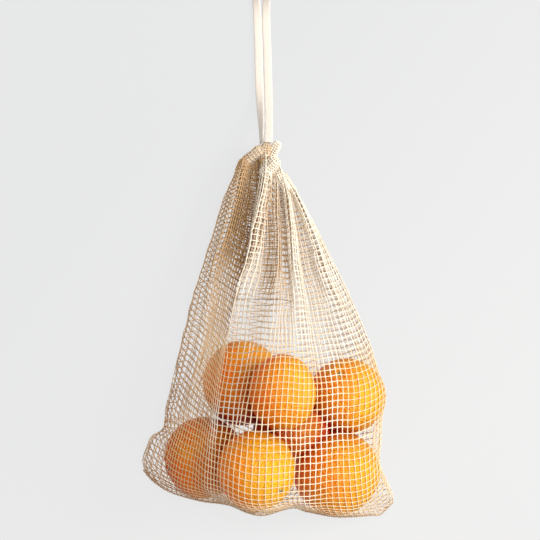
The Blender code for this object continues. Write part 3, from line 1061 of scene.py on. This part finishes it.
makeHem()

# bottom seam: two cords twisted together, oversewn

seam = {
    "ends": (0.006, 0.994),
    # cordBrown and stitchBrown are painted shade along the bottom seam
    "cord": 0.00042, "offset": 0.0004, "twist": 0.005, "cordBrown": 0.9,
    "cordSides": 8, "stitch": 0.0003, "stitchGap": 0.0060,
    "stitchEnds": (0.01, 0.99),
    "stitchOut": 0.6,  # of its own half thickness, outside the cords
    "stitchLean": 0.0020, "stitchBrown": 0.75, "stitchSides": 6, "samples": 700,
    "points": 420, "stitchPoints": 15,
}


def makeSeam():
    line = planCurve(net["seam"], np.linspace(0, 1, seam["samples"]))
    length = travelledAlong(line)[-1]
    line = evenly(line, np.linspace(*seam["ends"], seam["points"]))
    forward = unit(np.gradient(line, axis=0))
    side, up = beside(forward)
    turn = np.linspace(0, 2 * math.pi * length / seam["twist"], len(line))[:, None]
    ways = np.array([side * np.cos(turn + phase) + up * np.sin(turn + phase) for phase in (0, math.pi)])
    around = np.linspace(0, 2 * math.pi, seam["stitchPoints"])
    reach = seam["cord"] + seam["offset"] + seam["stitch"] * seam["stitchOut"]
    lean = (np.cos(around / 2) * seam["stitchLean"])[:, None]
    stitches, stitchUps = [], []
    for share in np.linspace(*seam["stitchEnds"], int(length / seam["stitchGap"])):
        k = int(share * (len(line) - 1))
        ring = side[k] * np.cos(around)[:, None] + up[k] * np.sin(around)[:, None]
        stitches.append(line[k] + ring * reach + forward[k] * lean)
        stitchUps.append(ring)
    for name, kind, lines, ups in (
        ("net_seam_cord", "cord", line + ways * seam["offset"], ways),
        ("net_seam_stitches", "stitch", np.array(stitches), np.array(stitchUps)),
    ):
        radii = np.full(lines.shape[:2], seam[kind])
        paintedShadeLevel = np.full(radii.shape, seam[kind + "Brown"])
        piece = yarnPiece(name, lines, ups, radii, netYarn, sides=seam[kind + "Sides"], foldDepth=paintedShadeLevel)
        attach(piece, "root")
    print("bottom seam made,", len(stitches), "stitches")


makeSeam()

# floor and light


stage = {
    "floorSize": 6.0, "floorHeight": -0.0005,
    "floorColour": (0.06, 0.06, 0.061, 1),
    "floorTones": ((0.925, 0.932, 0.942), (1.0, 1.0, 1.0)),
    "floorPaintedLight": (1.25, -1.45, 0.0),  # painted light: the floor's glow is brighter to the right and towards the seam
    "floorReach": 0.4, "floorGlow": 0.772,
    "aim": (0, 0, 0.03),
    # place, size across, power and colour
    "lights": {
        "keyLight": ((1.85, 0.35, 1.4), 1.0, 52, (1.0, 0.985, 0.95)),
        "fillLight": ((0.5, 0.2, 2.7), 1.6, 46, (1.0, 0.985, 0.96)),
    },
    "skyColour": (1.0, 0.955, 0.89, 1),
    "skyStrength": 0.43,
}


def addFloor():
    deselectAll()
    bpy.ops.mesh.primitive_plane_add(size=stage["floorSize"], location=(0, 0, stage["floorHeight"]))
    floor = bpy.context.object
    floor.name = "floor"
    material, tree, shader = newMaterial("pale floor")
    place = addNode(tree, "TexCoord", "Object")
    paintedLightSlope = addNode(tree, "VectorMath", "Value", {0: place, 1: stage["floorPaintedLight"]}, operation="DOT_PRODUCT")
    reach = stage["floorReach"]
    share = addNode(tree, "MapRange", "Result", {"Value": paintedLightSlope, "From Min": -reach, "From Max": reach})
    dim, bright = stage["floorTones"]
    connect(shader, {
        "Base Color": stage["floorColour"], "Roughness": 0.9, "Specular IOR Level": 0.1,
        "Emission Color": addRamp(tree, share, (0.0, dim), (1.0, bright)),
        "Emission Strength": stage["floorGlow"],
    })
    floor.data.materials.append(material)


def addLight(name, location, size, power, colour):
    bpy.ops.object.light_add(type="AREA", location=location)
    light = bpy.context.object
    light.name = name
    light.data.shape = "DISK"
    light.data.size = size
    light.data.energy = power
    light.data.color = colour
    aim = Vector(stage["aim"]) - Vector(location)
    light.rotation_euler = aim.to_track_quat("-Z", "Y").to_euler()


def lightScene():
    addFloor()
    for name, light in stage["lights"].items():
        addLight(name, *light)
    world = bpy.data.worlds.new("studio")
    bpy.context.scene.world = world
    world.use_nodes = True
    sky = world.node_tree.nodes["Background"]
    connect(sky, {"Color": stage["skyColour"], "Strength": stage["skyStrength"]})


lightScene()
print("lights set")
